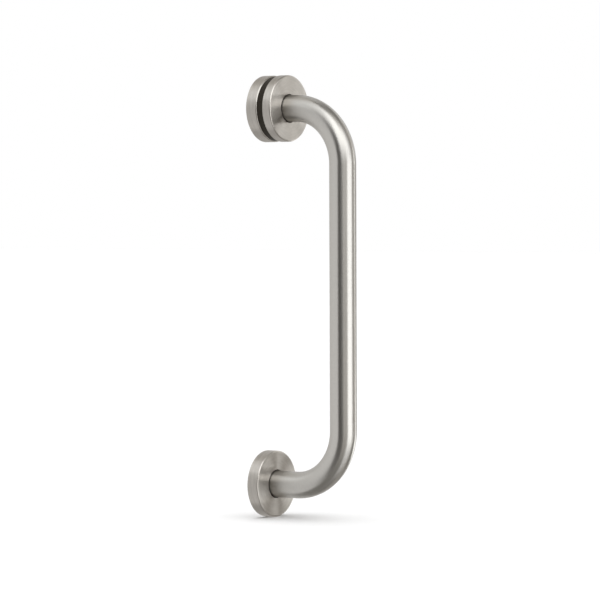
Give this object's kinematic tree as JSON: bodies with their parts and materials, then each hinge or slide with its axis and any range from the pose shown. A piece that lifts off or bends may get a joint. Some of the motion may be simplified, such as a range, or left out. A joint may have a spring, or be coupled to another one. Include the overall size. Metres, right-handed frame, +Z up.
{
  "type": "grab bar",
  "caption": "D-shaped satin steel grab bar bent from round tube, on round wall roses, with a black packing ring behind the upper front rose; screwed from behind into its threaded ends.",
  "frame": {"origin": "on the wall plane, midway between the two fixing centres", "axes": "+X away from the wall towards the grip, +Z up along the grip"},
  "size_m": [0.0856, 0.053, 0.353],
  "materials": {
    "tube_steel": "satin, ground round the tube",
    "rose_steel": "turned and brushed in circles",
    "plug_steel": "as turned",
    "packing_rubber": "moulded, satin black",
    "grip_rubber": "moulded, black"
  },
  "bodies": {
    "root": {"bar_tube": "tube_steel", "upper_end_plug": "plug_steel", "lower_end_plug": "plug_steel", "upper_wall_rose": "rose_steel", "upper_front_rose": "rose_steel", "lower_wall_rose": "rose_steel", "upper_packing_ring": "packing_rubber", "upper_wall_rose_grip_ring": "grip_rubber", "upper_front_rose_grip_ring": "grip_rubber", "lower_wall_rose_grip_ring": "grip_rubber"}
  },
  "joints": []
}
